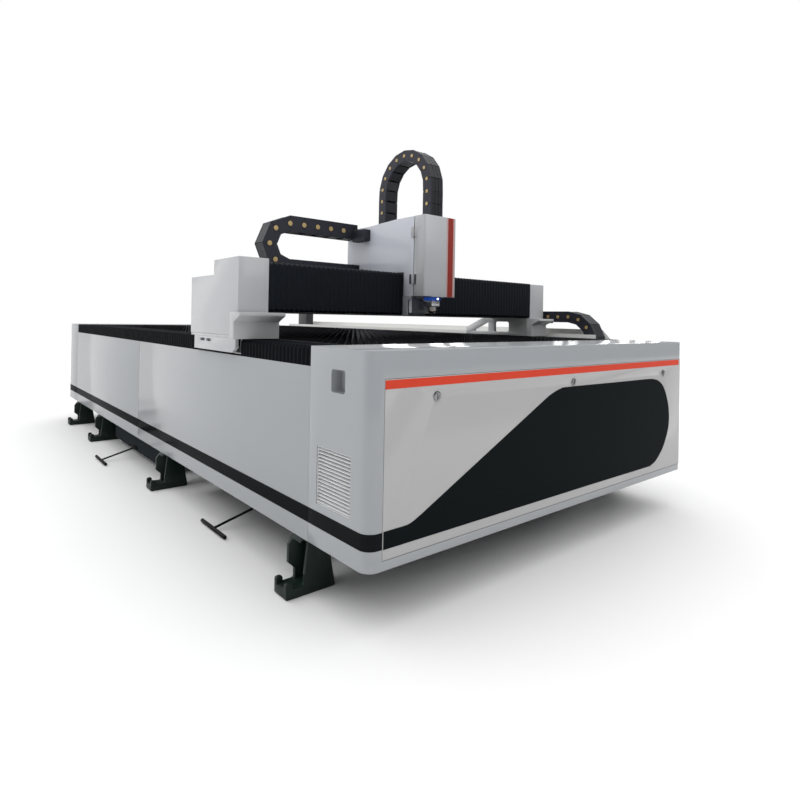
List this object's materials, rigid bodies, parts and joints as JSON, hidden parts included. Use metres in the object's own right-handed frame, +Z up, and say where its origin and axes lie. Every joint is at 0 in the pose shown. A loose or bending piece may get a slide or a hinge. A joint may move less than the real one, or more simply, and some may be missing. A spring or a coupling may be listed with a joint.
{
  "type": "laser cutting machine",
  "caption": "Open flat-bed laser cutting machine: long bed with sawtooth slats, sliding gantry under bellows, carriage with cutting head, and energy chains.",
  "frame": {"origin": "middle of the machine's box on the floor, under its feet", "axes": "+X to the right seen from the front panel, +Y from the front panel along the bed, +Z up"},
  "size_m": [2.554, 4.9527, 1.9935],
  "materials": {
    "frame_paint": "dark grey paint, semi-matt",
    "panel_paint": "light grey powder coat with black bands, satin",
    "front_paint": "light grey panel with a black field and a red stripe, satin",
    "lock_chrome": "bright plating",
    "foot_paint": "very dark green paint on a casting",
    "slat_steel": "plain cut steel plate",
    "rail_steel": "ground steel",
    "bellows_black": "coated black fabric, folded",
    "grey_sheet": "mid grey paint",
    "chain_black": "dark moulded plastic",
    "handle_black": "black paint",
    "gantry_paint": "off-white powder coat, satin",
    "machined": "machined and anodised",
    "ring_blue": "clear blue plastic over a light",
    "nozzle_copper": "turned copper alloy"
  },
  "bodies": {
    "bed": {"bed_frame": "frame_paint", "cable_riser": "frame_paint", "front_hood": "panel_paint", "rear_hood": "panel_paint", "side_panel_left_front": "panel_paint", "side_panel_left_rear": "panel_paint", "side_panel_right_front": "panel_paint", "side_panel_right_rear": "panel_paint", "front_panel": "front_paint", "louvre_grille": "panel_paint", "foot_left_1": "foot_paint", "foot_left_2": "foot_paint", "foot_left_3": "foot_paint", "foot_left_4": "foot_paint", "foot_right_1": "foot_paint", "foot_right_2": "foot_paint", "foot_right_3": "foot_paint", "foot_right_4": "foot_paint", "slat_table": "slat_steel", "bed_rail_left": "rail_steel", "bed_rail_right": "rail_steel", "rail_bellows_left_front": "bellows_black", "rail_bellows_left_rear": "bellows_black", "rail_bellows_right_front": "bellows_black", "rail_bellows_right_rear": "bellows_black", "long_chain_tray": "grey_sheet", "long_chain": "chain_black"},
    "gantry": {"gantry_foot_left": "grey_sheet", "gantry_foot_right": "grey_sheet", "drive_housing_left": "gantry_paint", "gantry_skirt_left": "gantry_paint", "foot_cover_left": "grey_sheet", "foot_cover_right": "grey_sheet", "end_cover_right": "gantry_paint", "long_chain_arm": "frame_paint", "cross_beam": "grey_sheet", "beam_bellows_left": "bellows_black", "beam_bellows_right": "bellows_black", "short_chain_shelf": "grey_sheet", "short_chain": "chain_black"},
    "carriage": {"carriage_plate": "grey_sheet", "carriage_cover": "gantry_paint", "side_guard": "gantry_paint", "short_chain_bracket": "frame_paint", "door_hinge_lower": "frame_paint", "door_hinge_upper": "frame_paint", "arch_chain": "chain_black"},
    "door": {"cover_door": "gantry_paint"},
    "head": {"head_slide_plate": "machined", "cutting_head": "machined", "head_ring": "ring_blue", "sensor_block": "machined", "nozzle": "nozzle_copper"},
    "drawer_1": {"slag_drawer_1": "frame_paint"},
    "drawer_2": {"slag_drawer_2": "frame_paint"},
    "pull_1": {"drawer_pull_1": "handle_black"},
    "pull_2": {"drawer_pull_2": "handle_black"},
    "lock_1": {"panel_lock_1": "lock_chrome"},
    "lock_2": {"panel_lock_2": "lock_chrome"},
    "lock_3": {"panel_lock_3": "lock_chrome"}
  },
  "joints": [
    {"name": "gantry_slide", "type": "slide", "parent": "bed", "child": "gantry", "axis": [0, 1, 0], "range_m": [-0.34, 2.66], "deforming": ["rail_bellows_left_front", "rail_bellows_right_front", "rail_bellows_left_rear", "rail_bellows_right_rear", "long_chain"]},
    {"name": "carriage_slide", "type": "slide", "parent": "gantry", "child": "carriage", "axis": [1, 0, 0], "range_m": [-0.71, 0.79], "deforming": ["beam_bellows_left", "beam_bellows_right", "short_chain"]},
    {"name": "head_slide", "type": "slide", "parent": "carriage", "child": "head", "axis": [0, 0, 1], "range_m": [-0.12, 0.02], "deforming": ["arch_chain"]},
    {"name": "door_hinge", "type": "hinge", "parent": "carriage", "child": "door", "pos_m": [-0.1913, -1.58865, 1.367], "axis": [0, 0, 1], "range_deg": [-100, 0]},
    {"name": "drawer_slide_1", "type": "slide", "parent": "bed", "child": "drawer_1", "axis": [-1, 0, 0], "range_m": [0, 1.55]},
    {"name": "drawer_slide_2", "type": "slide", "parent": "bed", "child": "drawer_2", "axis": [-1, 0, 0], "range_m": [-0.125, 1.425]},
    {"name": "pull_hinge_1", "type": "hinge", "parent": "drawer_1", "child": "pull_1", "pos_m": [-0.929, -1.27365, 0.07], "axis": [0, 1, 0], "range_deg": [0, 42]},
    {"name": "pull_hinge_2", "type": "hinge", "parent": "drawer_2", "child": "pull_2", "pos_m": [-1.054, 0.42635, 0.07], "axis": [0, 1, 0], "range_deg": [0, 42]},
    {"name": "lock_turn_1", "type": "hinge", "parent": "bed", "child": "lock_1", "pos_m": [-0.829, -2.47365, 0.756], "axis": [0, 1, 0], "range_deg": [0, 90]},
    {"name": "lock_turn_2", "type": "hinge", "parent": "bed", "child": "lock_2", "pos_m": [0.003, -2.47365, 0.756], "axis": [0, 1, 0], "range_deg": [0, 90]},
    {"name": "lock_turn_3", "type": "hinge", "parent": "bed", "child": "lock_3", "pos_m": [0.846, -2.47365, 0.756], "axis": [0, 1, 0], "range_deg": [0, 90]}
  ]
}
